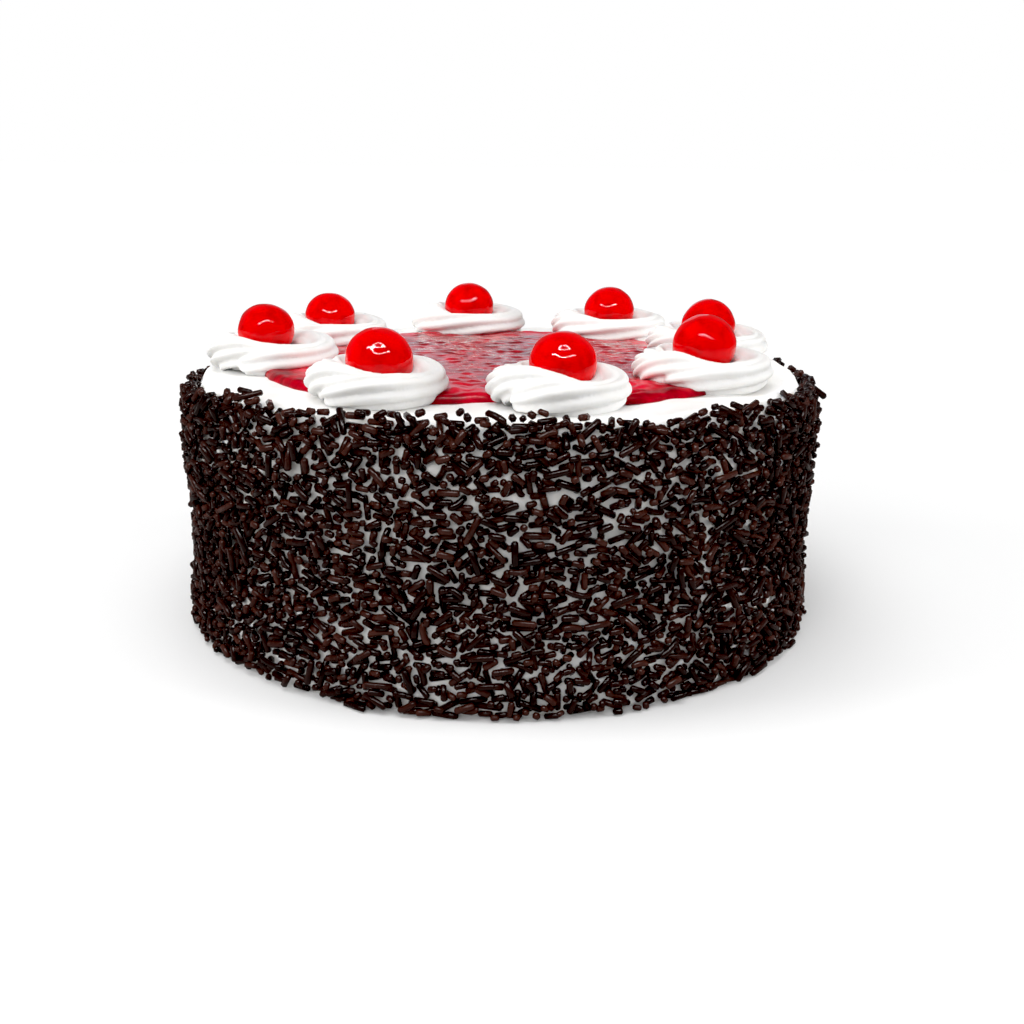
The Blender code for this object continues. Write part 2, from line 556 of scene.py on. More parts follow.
@dataclass
class Outline:
    """The icing's outline in the half plane of one azimuth, from the foot on to the top.

    A place on it is its arc length from the foot. The side is drawn in halfway up and rounds
    over on to the flat top.
    """

    coat_radius: float
    height: float
    waist_depth: float = 1.7 * MM
    shoulder_height: float = 66.0 * MM
    shoulder_inset: float = 6.4 * MM
    shoulder_power: float = 2.1
    coat_depth: float = 3.7 * MM
    top_strip: float = 11.5 * MM
    steps: int = 400
    lengths: np.ndarray = field(init=False)
    radii: np.ndarray = field(init=False)
    heights: np.ndarray = field(init=False)
    outward: np.ndarray = field(init=False)
    upward: np.ndarray = field(init=False)

    def __post_init__(self) -> None:
        """Works the outline out from its sizes, in even steps of its length."""
        side = np.linspace(0, self.shoulder_height, self.steps)
        turn = np.linspace(0, pi / 2, self.steps)[1:]
        inward = np.linspace(0, self.top_strip, self.steps // 2)[1:]
        waist = self.waist_depth * np.sin(pi * side / self.shoulder_height) ** 2
        across = 1 - np.cos(turn) ** (2 / self.shoulder_power)
        up = np.sin(turn) ** (2 / self.shoulder_power)
        outside = self.coat_radius - self.coat_depth
        radii = (
            outside - waist,
            outside - self.shoulder_inset * across,
            outside - self.shoulder_inset - inward,
        )
        heights = (
            side,
            self.shoulder_height + (self.height - self.shoulder_height) * up,
            np.full_like(inward, self.height),
        )
        rough = np.stack((np.concatenate(radii), np.concatenate(heights)))
        along = np.concatenate(([0.0], np.cumsum(np.hypot(*np.diff(rough)))))
        self.lengths = np.linspace(0, along[-1], 2 * self.steps)
        self.radii, self.heights = (np.interp(self.lengths, along, part) for part in rough)
        self.outward, self.upward = self._normals(self.radii, self.heights)

    @staticmethod
    def _normals(radii: np.ndarray, heights: np.ndarray) -> tuple[np.ndarray, np.ndarray]:
        """The outline's normals.

        Args:
            radii: The outline's radii.
            heights: Its heights.

        Returns:
            Their outward and upward parts.
        """
        along = np.stack((np.gradient(radii), np.gradient(heights)))
        along /= np.linalg.norm(along, axis=0)
        return along[1], -along[0]

    @property
    def length(self) -> float:
        """The whole outline's arc length."""
        return float(self.lengths[-1])

    def read(self, place: np.ndarray) -> tuple[np.ndarray, np.ndarray, np.ndarray, np.ndarray]:
        """The outline at some places.

        Args:
            place: Arc lengths.

        Returns:
            Radii, heights, and the normals' outward and upward parts.
        """
        parts = (self.radii, self.heights, self.outward, self.upward)
        radius, height, outward, upward = (np.interp(place, self.lengths, part) for part in parts)
        norm = np.hypot(outward, upward)
        return radius, height, outward / norm, upward / norm

    def curvature(self, place: np.ndarray) -> np.ndarray:
        """How sharply the outline turns over at some places, in radians a metre."""
        reach = 2.0 * MM
        _, _, _, before = self.read(place - reach)
        _, _, _, after = self.read(place + reach)
        angle = np.arcsin(np.clip(after, -1, 1)) - np.arcsin(np.clip(before, -1, 1))
        return np.clip(angle / (2 * reach), 0.0, None)

    def top_height(self, radius: np.ndarray) -> np.ndarray:
        """The icing's height at radii on its top and shoulder."""
        half = int(np.argmax(self.heights > self.shoulder_height))
        return np.interp(radius, self.radii[half:][::-1], self.heights[half:][::-1])

    def place_on_top(self, radius: float) -> float:
        """The arc length at a radius on the outline's shoulder or top."""
        half = int(np.argmax(self.heights > self.shoulder_height))
        return float(np.interp(radius, self.radii[half:][::-1], self.lengths[half:][::-1]))


@dataclass
class Icing:
    """The icing that wraps the cake: a smoothed top and a side with the palette knife's marks."""

    outline: Outline
    columns: int = 360
    rows: int = 70
    lump_depth: float = 0.22 * MM
    knife_depth: float = 0.1 * MM
    seed: int = 11

    def __post_init__(self) -> None:
        """Draws the relief."""
        self.lumps = Ripples(self.seed, 14 * MM, 60 * MM)
        self.marks = Ripples(self.seed + 1, 2.5 * MM, 7 * MM)

    def surface(self, azimuth: np.ndarray, place: np.ndarray) -> tuple[np.ndarray, np.ndarray]:
        """The icing's face.

        Args:
            azimuth: Azimuths in radians.
            place: Arc lengths up the outline, as many.

        Returns:
            Points and unit normals, one a row.
        """
        radius, height, outward, upward = self.outline.read(place)
        ray = np.stack((np.cos(azimuth), np.sin(azimuth), np.zeros_like(azimuth)), axis=1)
        normal = ray * outward[:, None]
        normal[:, 2] = upward
        points = ray * radius[:, None]
        points[:, 2] = height
        stretched = points * np.array([0.35, 0.35, 1.0])
        relief = self.lumps(points) * self.lump_depth + self.marks(stretched) * self.knife_depth
        relief *= smooth_step(place, 0.0, 3 * MM)
        return points + normal * relief[:, None], normal

    def build(self, material: bpy.types.Material) -> bpy.types.Object:
        """Makes the icing, closed over the top and under the foot.

        Args:
            material: Its finish.

        Returns:
            The piece.
        """
        azimuth = np.linspace(0, TURN, self.columns, endpoint=False)
        place = np.linspace(0, self.outline.length, self.rows)
        grid_place, grid_azimuth = np.meshgrid(place, azimuth, indexing="ij")
        points, _ = self.surface(grid_azimuth.ravel(), grid_place.ravel())
        foot = np.array([[0.0, 0.0, 0.0]])
        top = np.array([[0.0, 0.0, self.outline.height]])
        count = len(points)
        ring = np.arange(self.columns)
        after = (ring + 1) % self.columns
        last = count - self.columns
        under = np.stack((after, ring, np.full_like(ring, count)), axis=1)
        over = np.stack((last + ring, last + after, np.full_like(ring, count + 1)), axis=1)
        faces = [quad_grid(self.rows, self.columns, wrap=True), under, over]
        piece = add_mesh("icing", np.concatenate((points, foot, top)), faces)
        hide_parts("iced_cake")
        dress(piece, material)
        return piece


# --------------------------------------------------------------- the sprinkles


class Rod(Enum):
    """The kinds of sprinkle: piece, shares of the first and the later rods, lengths in mm, bend."""

    LONG = ("sprinkles_long", (0.42, 0.2), (5.2, 8.8), 0.0)
    MEDIUM = ("sprinkles_medium", (0.34, 0.36), (3.6, 5.4), 0.0)
    BENT = ("sprinkles_bent", (0.1, 0.06), (5.0, 8.4), 0.09)
    BIT = ("sprinkles_bits", (0.14, 0.38), (1.9, 3.2), 0.0)

    def __init__(
        self, piece: str, shares: tuple[float, float], span_mm: tuple[float, float], bend: float
    ) -> None:
        """Names the parts of each value."""
        self.piece = piece
        self.shares = shares
        self.span_mm = span_mm
        self.bend = bend

    @property
    def rings(self) -> tuple[tuple[float, float, float], ...]:
        """Rings from end to end: share of the half length, inset in radii, width in radii."""
        blunt_end = ((-1, 0.0, 0.5), (-1, 0.46, 1.0))
        middle = ((-0.3, 0.0, 1.03), (0.3, 0.0, 1.0)) if self.bend else ()
        other_end = tuple((-side, -inset, width) for side, inset, width in reversed(blunt_end))
        return (*blunt_end, *middle, *other_end)


@dataclass
class Lie:
    """How one sprinkle lies: azimuth, place up the outline, heading, height, slope, size."""

    kind: Rod
    azimuth: float
    place: float
    heading: float
    lift: float
    slope: float
    length: float
    radius: float
    bow: float


@dataclass
class SprinkleCoat:
    """Sprinkles dropped one by one on the icing until all but its bare spots are covered.

    A grid over the unrolled side holds how high the coat already stands, so each new rod
    leans on what lies under it.
    """

    icing: Icing
    sides: int = 6
    cell: float = 0.3 * MM
    patch: int = 22
    sink: float = 0.45 * MM
    most: int = 10200
    limits: tuple[float, float] = (1.9 * MM, 3.4 * MM)
    batch: int = 100
    batches: int = 260
    give_up: float = 0.02
    let_be: float = 0.012
    tries: int = 4
    level_share: float = 0.45
    edge_radius: float = 99.4 * MM
    crown_depth: float = 6.0 * MM
    dips: tuple[tuple[float, float, float], ...] = (
        (-66, 10, 2.6),
        (-127, 12, 1.6),
        (24, 20, -1.7),
        (-95, 34, -0.5),
    )
    seed: int = 5

    def __post_init__(self) -> None:
        """Lays out the empty grid."""
        outline = self.icing.outline
        self.draw = np.random.default_rng(self.seed)
        patches_up = int(outline.length / (self.cell * self.patch))
        self.rows = patches_up * self.patch
        around = TURN * float(outline.radii[0]) / (self.cell * self.patch)
        self.columns = round(around) * self.patch
        self.tops = np.full((self.rows, self.columns), -self.sink)
        self.covered = np.zeros((self.rows, self.columns), dtype=bool)
        self.rim = outline.place_on_top(self.edge_radius)
        middles = (np.arange(self.rows) + 0.5) * self.cell
        self.ring_radii = outline.read(middles)[0]
        self.bends = outline.curvature(middles)
        self.bare = self._bare_spots()
        self.lies: list[Lie] = []
        self.limit = self.limits[0]

    def _bare_spots(self) -> np.ndarray:
        """Which cells the sprinkles keep off.

        Returns:
            True or false for each cell of the grid.
        """
        outline = self.icing.outline
        place = (np.arange(self.rows) + 0.5)[:, None] * self.cell
        azimuth = (np.arange(self.columns) + 0.5)[None, :] / self.columns * TURN
        radius, height, _, _ = outline.read(place)
        grid = np.broadcast_arrays(radius * np.cos(azimuth), radius * np.sin(azimuth), height)
        spots = np.stack(grid, axis=-1).reshape(-1, 3)

        def clouds(number: int, shortest: float, longest: float) -> np.ndarray:
            """Ripples read over the whole grid."""
            return Ripples(self.seed + number, shortest, longest)(spots).reshape(len(place), -1)

        thin = 0.5 + 0.5 * np.cos(azimuth - radians(-76))
        thin = thin**3 * smooth_step(place, 20 * MM, 66 * MM)
        share = 0.004 + 0.08 * thin + (0.004 + 0.035 * thin) * clouds(1, 30 * MM, 90 * MM)
        share = share * (1 - 0.93 * smooth_step(place, self.rim - 14 * MM, self.rim - 8 * MM))
        shares = (0.0, 0.02, 0.05, 0.1, 0.15, 0.2, 0.3, 0.4, 0.5)
        limits = (3.5, 2.05, 1.64, 1.28, 1.04, 0.84, 0.52, 0.25, 0.0)
        spot = 0.8 * clouds(2, 5.5 * MM, 10 * MM) + 0.6 * clouds(3, 3 * MM, 5.5 * MM)
        bare = spot > np.interp(share, shares, limits)
        drawn_back = 4.4 * MM * smooth_step(np.sin(azimuth), -0.8, -0.15)
        for middle, width, depth in self.dips:
            away = np.abs(np.mod(azimuth - radians(middle) + pi, TURN) - pi)
            drawn_back = drawn_back + depth * MM * np.exp(-((away / radians(width)) ** 2))
        edge = self.rim - drawn_back + 0.6 * MM * clouds(4, 16 * MM, 60 * MM)
        return bare | (place > edge)

    def _lacking(self) -> np.ndarray:
        """The share of each patch that still lacks sprinkles."""
        shape = (self.rows // self.patch, self.patch, self.columns // self.patch, self.patch)
        return (~(self.covered | self.bare)).reshape(shape).mean(axis=(1, 3))

    def _new_rod(self, late: bool = False) -> tuple[Rod, float, float, float]:
        """Draws a rod.

        Args:
            late: Whether it fills what the first rods left open.

        Returns:
            Its kind, length, radius and bow.
        """
        kinds = list(Rod)
        kind = kinds[self.draw.choice(len(kinds), p=[k.shares[late] for k in kinds])]
        length = self.draw.uniform(*kind.span_mm) * MM
        radius = self.draw.normal(1.03, 0.06) * MM
        bow = length * kind.bend * self.draw.uniform(0.4, 1.2) * self.draw.choice((-1, 1))
        return kind, length, float(np.clip(radius, 0.82 * MM, 1.1 * MM)), bow

    def _footprint(
        self, lie: Lie, along: np.ndarray, across: np.ndarray
    ) -> tuple[np.ndarray, np.ndarray, np.ndarray]:
        """The grid cells under a rod.

        Args:
            lie: Where the rod lies.
            along: Offsets along it.
            across: Offsets across it.

        Returns:
            Row and column numbers, along by across, and how far each is up the outline from
            the rod's middle.
        """
        swing = lie.bow * (1 - (2 * along / lie.length) ** 2)
        aside = across[None, :] + swing[:, None]
        around = along[:, None] * cos(lie.heading) - aside * sin(lie.heading)
        up = along[:, None] * sin(lie.heading) + aside * cos(lie.heading)
        ring_radius = self.ring_radii[self._row(lie.place)]
        columns = ((lie.azimuth + around / ring_radius) / TURN * self.columns).astype(int)
        rows = np.floor((lie.place + up) / self.cell).astype(int)
        return rows, columns % self.columns, up

    def _row(self, place: float) -> int:
        """The grid's row at a place up the outline."""
        return min(max(int(place / self.cell), 0), self.rows - 1)

    def _settle(self, lie: Lie) -> float:
        """Lowers a rod until it rests, and sets its lift and slope.

        Args:
            lie: The rod, at its azimuth, place and heading.

        Returns:
            How bad the place is: its lift in millimetres, and more the more of the rod lies
            over bare spots. Infinite off the grid.
        """
        along = np.linspace(-0.5, 0.5, 2 * max(3, round(lie.length / (0.7 * MM))) + 1) * lie.length
        across = np.array([-0.8, -0.4, 0.0, 0.4, 0.8]) * lie.radius
        rows, columns, up = self._footprint(lie, along, across)
        if rows.min() < 0 or rows.max() >= self.rows:
            return float("inf")
        drop = lie.radius - np.sqrt(lie.radius**2 - across**2)
        bulge = 0.5 * self.bends[self._row(lie.place)] * up**2
        need = (self.tops[rows, columns] - drop[None, :] - bulge).max(axis=1)
        middle = len(along) // 2
        left, right = along[:middle, None], along[None, middle + 1 :]
        low, high = need[:middle, None], need[None, middle + 1 :]
        spans = (low * right - high * left) / (right - left)
        lie.lift = float(max(spans.max(), need[middle]))
        least = ((need[middle + 1 :] - lie.lift) / along[middle + 1 :]).max()
        most = ((need[:middle] - lie.lift) / along[:middle]).min()
        lie.slope = float(np.clip(least if abs(least) < abs(most) else most, -0.7, 0.7))
        over_bare = float(self.bare[rows, columns].mean())
        if lie.lift > self._highest(lie) or over_bare > 0.4:
            return float("inf")
        return lie.lift / MM + 3 * over_bare

    def _stamp(self, lie: Lie) -> None:
        """Raises the grid over a rod that has come to rest."""
        along = np.linspace(-0.5, 0.5, max(4, round(lie.length / (0.8 * self.cell)))) * lie.length
        across = np.linspace(-0.95, 0.95, 9) * lie.radius
        rows, columns, up = self._footprint(lie, along, across)
        rows = np.clip(rows, 0, self.rows - 1)
        crest = lie.radius + np.sqrt(lie.radius**2 - across**2)
        bulge = 0.5 * self.bends[self._row(lie.place)] * up**2
        top = lie.lift + lie.slope * along[:, None] + crest[None, :] + bulge
        np.maximum.at(self.tops, (rows, columns), top)
        self.covered[rows, columns] = True

    def _highest(self, lie: Lie) -> float:
        """How high over the icing a rod may lie: a little more along the front of the crown."""
        low = self.rim - 2 * self.crown_depth
        crown = smooth_step(lie.place, low, low + self.crown_depth)
        front = 0.5 - 0.5 * sin(lie.azimuth)
        return self.limit + 0.6 * MM * float(crown) * front**2

    def _drop_one(self, row_from: int, column_from: int, late: bool) -> None:
        """Drops a rod over an open spot of a patch, the best lying of a few tries.

        Args:
            row_from: The patch's first row.
            column_from: The patch's first column.
            late: Whether it fills what the first rods left open.
        """
        rows = slice(row_from, row_from + self.patch)
        columns = slice(column_from, column_from + self.patch)
        open_cells = np.flatnonzero(~(self.covered | self.bare)[rows, columns])
        if not len(open_cells):
            return
        kind, length, radius, bow = self._new_rod(late)
        best, least = None, float("inf")
        for _ in range(self.tries):
            spot = int(self.draw.choice(open_cells))
            level = self.draw.random() < self.level_share
            heading = self.draw.normal(0, radians(24)) if level else self.draw.uniform(0, pi)
            slide = self.draw.uniform(-0.35, 0.35) * length
            place = (row_from + spot // self.patch + 0.5) * self.cell - slide * sin(heading)
            column = column_from + spot % self.patch + 0.5
            ring_radius = self.ring_radii[self._row(place)]
            azimuth = column / self.columns * TURN - slide * cos(heading) / ring_radius
            lie = Lie(kind, azimuth, place, heading, 0.0, 0.0, length, radius, bow)
            badness = self._settle(lie)
            if badness < least:
                best, least = lie, badness
        if best:
            self._stamp(best)
            self.lies.append(best)

    def strew(self) -> None:
        """Drops rods until every patch is covered but for its bare spots."""
        across = self.columns // self.patch
        crown = int((self.rim - self.crown_depth) / (self.cell * self.patch))
        for late, self.limit in enumerate(self.limits):
            for _ in range(self.batches):
                before = len(self.lies)
                lack = self._lacking()
                lack[crown:] *= 3
                lack = lack.ravel()
                lack[lack < self.let_be] = 0
                if before >= self.most or not lack.any():
                    break
                for index in self.draw.choice(len(lack), size=self.batch, p=lack / lack.sum()):
                    patch_row, patch_column = divmod(int(index), across)
                    self._drop_one(patch_row * self.patch, patch_column * self.patch, bool(late))
                if len(self.lies) - before < self.batch * self.give_up:
                    break
            LOG.info("%d sprinkles, %.3f of the side still open", len(self.lies), self._lacking().mean())

    def stand_some(self, count: int = 100) -> None:
        """Pushes rods end first into the coat, most of them along the rim.

        Args:
            count: How many there are.
        """
        for number in range(count):
            kind, length, radius, _ = self._new_rod()
            on_rim = number % 5 < 3
            length = min(length, 5.2 * MM)
            low, high = (self.rim - 7 * MM, self.rim - 1 * MM) if on_rim else (4 * MM, 64 * MM)
            place = self.draw.uniform(low, high)
            azimuth = self.draw.uniform(0, TURN)
            if on_rim:
                azimuth = radians(-90) + self.draw.normal(0, radians(30))
            heading = self.draw.uniform(0, TURN)
            row = int(place / self.cell)
            column = int(azimuth / TURN * self.columns) % self.columns
            under = min(float(self.tops[row, column]), 1.2 * MM)
            slope = self.draw.uniform(0.4, 1.8 if on_rim else 0.9)
            rise = 0.5 * length * slope / (1 + slope**2) ** 0.5
            lift = max(under * 0.5, -self.sink) + rise - 0.35 * MM
            self.lies.append(Lie(kind, azimuth, place, heading, lift, slope, length, radius, 0.0))

    def lay_at_foot(self, count: int = 46) -> None:
        """Lays rods along the foot, where they stick out under the coat.

        Args:
            count: How many there are.
        """
        for _ in range(count):
            kind, length, radius, _ = self._new_rod()
            heading = self.draw.normal(0, 0.12)
            lift = self.draw.uniform(0.6, 1.9) * MM
            azimuth = self.draw.uniform(0, TURN)
            place = radius * 1.05 + 0.5 * length * abs(sin(heading))
            slope = self.draw.normal(0, 0.25)
            self.lies.append(Lie(kind, azimuth, place, heading, lift, slope, length, radius, 0.0))

    def _shape(self, kind: Rod, lies: list[Lie]) -> tuple[np.ndarray, list[np.ndarray]]:
        """The mesh of all the rods of one kind.

        Args:
            kind: The kind.
            lies: How they lie.

        Returns:
            Points and faces.
        """
        azimuth = np.array([lie.azimuth for lie in lies])
        place = np.array([lie.place for lie in lies])
        heading = np.array([lie.heading for lie in lies])[:, None]
        slope = np.array([lie.slope for lie in lies])[:, None]
        radius = np.array([lie.radius for lie in lies])
        length = np.array([lie.length for lie in lies])
        bow = np.array([lie.bow for lie in lies])
        lift = np.array([lie.lift for lie in lies])

        foot, normal = self.icing.surface(azimuth, place)
        around = np.stack((-np.sin(azimuth), np.cos(azimuth), np.zeros_like(azimuth)), axis=1)
        up = np.cross(normal, around)
        level = around * np.cos(heading) + up * np.sin(heading)
        aside = up * np.cos(heading) - around * np.sin(heading)
        steep = np.sqrt(1 + slope**2)
        along = (level + normal * slope) / steep
        over = (normal - level * slope) / steep
        middle = foot + normal * (lift + radius)[:, None]

        spin = np.arange(self.sides) * TURN / self.sides
        wobble = np.random.default_rng(self.seed + 3).normal(1.0, 0.035, (len(lies), len(kind.rings)))
        rings = []
        for number, (side, inset, width) in enumerate(kind.rings):
            reach = side * length / 2 + inset * radius
            swing = bow * (1 - (2 * reach / length) ** 2)
            centre = middle + along * reach[:, None] + aside * swing[:, None]
            wide = radius * width * wobble[:, number]
            spoke = (
                aside[:, None, :] * np.cos(spin)[None, :, None]
                + over[:, None, :] * np.sin(spin)[None, :, None]
            )
            rings.append(centre[:, None, :] + spoke * wide[:, None, None])
        points = np.stack(rings, axis=1)
        points[..., 2] = np.maximum(points[..., 2], 0.0)
        each = points.shape[1] * self.sides
        starts = (np.arange(len(lies)) * each)[:, None, None]
        skin = quad_grid(points.shape[1], self.sides, wrap=True)[:, ::-1]
        near = np.arange(self.sides)
        ends = np.stack((near, (each - self.sides + near)[::-1]))
        return points.reshape(-1, 3), [
            (starts + skin[None]).reshape(-1, 4),
            (starts + ends[None]).reshape(-1, self.sides),
        ]

    def build(self, material: bpy.types.Material) -> list[bpy.types.Object]:
        """Makes the coat, one piece for each kind of rod.

        Args:
            material: Its finish.

        Returns:
            The pieces.
        """
        pieces = []
        for kind in Rod:
            lies = [lie for lie in self.lies if lie.kind is kind]
            points, faces = self._shape(kind, lies)
            piece = add_mesh(kind.piece, points, faces)
            piece.data.set_sharp_from_angle(angle=radians(80))
            dress(piece, material)
            pieces.append(piece)
        return pieces


# --------------------------------------------------------------------- the gel


@dataclass
class GelPool:
    """A spread pool of gel with a rounded lip and the swirls of the spoon on it."""

    base: float
    top: float
    radii_mm: tuple[float, ...] = (74, 68, 67, 67, 68, 71, 77, 83, 84, 73.5, 82.5, 84)
    lip: float = 2.4 * MM
    ripple: float = 0.2 * MM
    front_lump: float = 0.3 * MM
    rings: int = 96
    columns: int = 340
    seed: int = 23

    def edge(self, azimuth: np.ndarray) -> np.ndarray:
        """The pool's radius at some azimuths.

        Args:
            azimuth: Azimuths in radians.

        Returns:
            The radii, eased from one spread-out radius to the next.
        """
        radii = np.array(self.radii_mm) * MM
        place = np.mod(azimuth, TURN) / TURN * len(radii)
        before = np.floor(place).astype(int) % len(radii)
        share = (1 - np.cos(pi * np.mod(place, 1.0))) / 2
        radius = radii[before] * (1 - share) + radii[(before + 1) % len(radii)] * share
        fine = 0.45 * np.sin(17 * azimuth + 0.4) + 0.3 * np.sin(31 * azimuth + 1.3)
        return radius + MM * (0.6 * np.sin(9 * azimuth + 2.1) + fine)

    def build(self, material: bpy.types.Material) -> bpy.types.Object:
        """Makes the pool, closed underneath.

        Args:
            material: Its finish.

        Returns:
            The piece.
        """
        azimuth = np.linspace(0, TURN, self.columns, endpoint=False)
        share = np.linspace(0.0, 1.0, self.rings) ** 0.8
        share = np.concatenate((share[1:-1], 1 - 0.02 * (1 - np.linspace(0.1, 1, 8)) ** 2))
        share = np.unique(share)
        grid_share, grid_azimuth = np.meshgrid(share, azimuth, indexing="ij")
        edge = self.edge(grid_azimuth)
        radius = grid_share * edge
        flat = np.stack(
            (radius * np.cos(grid_azimuth), radius * np.sin(grid_azimuth), np.zeros_like(radius)),
            axis=-1,
        ).reshape(-1, 3)
        inside = (edge - radius).ravel()
        lip = np.clip(1 - inside / self.lip, 0, 1)
        thick = (self.top - self.base) * np.sqrt(np.clip(1 - lip**2.4, 0.0, 1))
        swirl = Ripples(self.seed, 3.2 * MM, 6.5 * MM)(flat * np.array([0.5, 1.1, 1.0]))
        broad = Ripples(self.seed + 1, 12 * MM, 40 * MM)(flat)
        fine = Ripples(self.seed + 2, 2.4 * MM, 4.5 * MM)(flat)
        relief = self.ripple * (0.7 * swirl + 0.6 * broad + 0.26 * fine)
        lumps = Ripples(self.seed + 3, 5 * MM, 9 * MM)(flat)
        relief += self.front_lump * lumps * smooth_step(-flat[:, 1], 30 * MM, 62 * MM)
        calm = smooth_step(inside, 0.3 * MM, 2 * self.lip)
        flat[:, 2] = self.base + thick + relief * (0.25 + 0.75 * calm) * (inside > 0.1 * MM)
        flat[:, 2] = np.maximum(flat[:, 2], self.base + 0.1 * MM * (inside > 0))
        count = len(flat)
        ring = np.arange(self.columns)
        after = (ring + 1) % self.columns
        rows = len(share)
        last = count - self.columns
        over = np.stack((after, ring, np.full_like(ring, count)), axis=1)
        under = np.stack((last + ring, last + after, np.full_like(ring, count + 1)), axis=1)
        centres = np.array([[0.0, 0.0, self.top], [0.0, 0.0, self.base - 0.2 * MM]])
        faces = [quad_grid(rows, self.columns, wrap=True), over, under]
        faces[0] = faces[0][:, ::-1]
        faces[1] = faces[1][:, ::-1]
        faces[2] = faces[2][:, ::-1]
        piece = add_mesh("gel", np.concatenate((flat, centres)), faces)
        fix_normals(piece)
        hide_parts("cherry_gel")
        dress(piece, material)
        return piece


def fix_normals(piece: bpy.types.Object) -> None:
    """Turns all of a piece's faces outwards."""
    mesh = bmesh.new()
    mesh.from_mesh(piece.data)
    bmesh.ops.recalc_face_normals(mesh, faces=mesh.faces)
    mesh.to_mesh(piece.data)
    mesh.free()


# ---------------------------------------------------------------- the rosettes


@dataclass
class Rosette:
    """A rope of cream piped round in a ring, its end lapping over its start.

    Azimuths are round the rosette's own middle. The rope's ridges climb from its outer foot
    over its crest as it goes round anticlockwise.
    """

    number: int
    middle: Vector
    half_width: float
    gel: GelPool
    outline: Outline
    seam: float
    hump: float = 0.45
    lap: float = radians(118)
    rope_width: float = 7.2 * MM
    rope_height: float = 5.9 * MM
    rise: float = 5.2 * MM
    ridges: int = 8
    twist: float = 2.6
    fan: float = 2.4
    ridge_depth: float = 0.46
    bed: float = 1.9 * MM
    steps: int = 340
    round: int = 144
    voxel: float = 0.53 * MM

    def _path(self, gone: np.ndarray) -> tuple[np.ndarray, np.ndarray, np.ndarray]:
        """The rope's path and thickness.

        Args:
            gone: Radians gone round from the start.

        Returns:
            Distances from the middle, heights over the icing, and thickness as a share.
        """
        draw = np.random.default_rng(100 + self.number)
        a, b, c = draw.random(3) * TURN
        growing = smooth_step(gone, -0.35, 0.9)
        ending = smooth_step(gone, TURN - 1.0, TURN + self.lap)
        ring = self.half_width - self.rope_width
        reach = ring + 1.2 * MM * (1 - growing) - 4.8 * MM * ending
        reach = reach + 0.35 * MM * np.sin(2 * gone + a) + 0.2 * MM * np.sin(5 * gone + b)
        climb = 2.2 * ending + 10.3 * self.hump * ending * (1 - ending)
        height = self.rise - 1.8 * MM * (1 - growing) + climb * MM
        height = height + 0.2 * MM * np.sin(3 * gone + c)
        thick = (0.6 + 0.4 * growing) * (1 - 0.62 * ending**1.3)
        thick = thick * (1 + 0.03 * np.sin(4 * gone + b))
        blunt = np.minimum(gone, TURN + self.lap - gone) * ring / (3.5 * MM)
        thick = thick * np.sqrt(1 - (1 - np.clip(blunt + 0.04, 0, 1)) ** 2)
        return reach, height, thick

    def _swell(self, turn: np.ndarray, azimuth: np.ndarray) -> np.ndarray:
        """How far out the rope's skin stands, as a share of its thickness.

        Its ridges climb fastest and are deepest where the rope swings round on the left.

        Args:
            turn: Angles round the rope, from its outer side over its crest.
            azimuth: Azimuths along the rope.

        Returns:
            The shares, 1 on a ridge and less in a groove.
        """
        cycles, share = np.divmod((azimuth - radians(135)) / TURN, 1.0)
        swing = cycles + smooth_step(share, 0.0, 0.24)
        phase = self.ridges * turn - self.twist * azimuth - TURN * self.fan * swing
        draw = np.random.default_rng(200 + self.number)
        crest = np.abs(np.cos(phase / 2 + 0.5 * np.sin(azimuth * 2 + turn + draw.random()))) ** 0.8
        left = 0.5 + 0.5 * np.cos(azimuth - radians(212))
        uneven = 1 + 0.2 * np.sin(2 * turn - azimuth + draw.random() * TURN)
        return 1 - self.ridge_depth * (0.3 + 0.7 * left) * (1 - crest) * uneven

    def _rope(self) -> tuple[np.ndarray, np.ndarray]:
        """The rope's skin.

        Returns:
            Points, ring after ring, and the quads between the rings.
        """
        gone = np.linspace(0, TURN + self.lap, self.steps)
        reach, height, thick = self._path(gone)
        azimuth = (self.seam + gone)[:, None]
        turn = np.linspace(0, TURN, self.round, endpoint=False)[None, :]
        swell = self._swell(turn, azimuth)
        out = self.rope_width * thick[:, None] * swell * np.cos(turn)
        up = self.rope_height * thick[:, None] * swell * np.sin(turn)
        radius = reach[:, None] + out
        x = self.middle.x + radius * np.cos(azimuth)
        y = self.middle.y + radius * np.sin(azimuth)
        z = height[:, None] + up + self.outline.height
        points = np.stack((x, y, z), axis=-1).reshape(-1, 3)
        points[:, 2] -= self._sag(points)
        points[:, 2] = np.maximum(points[:, 2], self._ground(points))
        return points, quad_grid(self.steps, self.round, wrap=True)

    def _sag(self, points: np.ndarray) -> np.ndarray:
        """How far the cream gives way in front of the cherry, on its right."""
        across, along = points[:, 0] - self.middle.x, points[:, 1] - self.middle.y
        away = np.hypot(across, along)
        facing = np.cos(np.arctan2(along, across) - radians(-58))
        inner = 1 - smooth_step(away, 14 * MM, 20 * MM)
        return self.bed * smooth_step(facing, 0.1, 0.9) * inner

    def _ground(self, points: np.ndarray) -> np.ndarray:
        """The height of what the rosette lies on, a touch under its face."""
        radius = np.hypot(points[:, 0], points[:, 1])
        azimuth = np.arctan2(points[:, 1], points[:, 0])
        icing = self.outline.top_height(radius) - 0.25 * MM
        on_gel = smooth_step(self.gel.edge(azimuth) - radius, -0.2 * MM, self.gel.lip)
        return icing + on_gel * (self.gel.top - 0.5 * MM - icing)

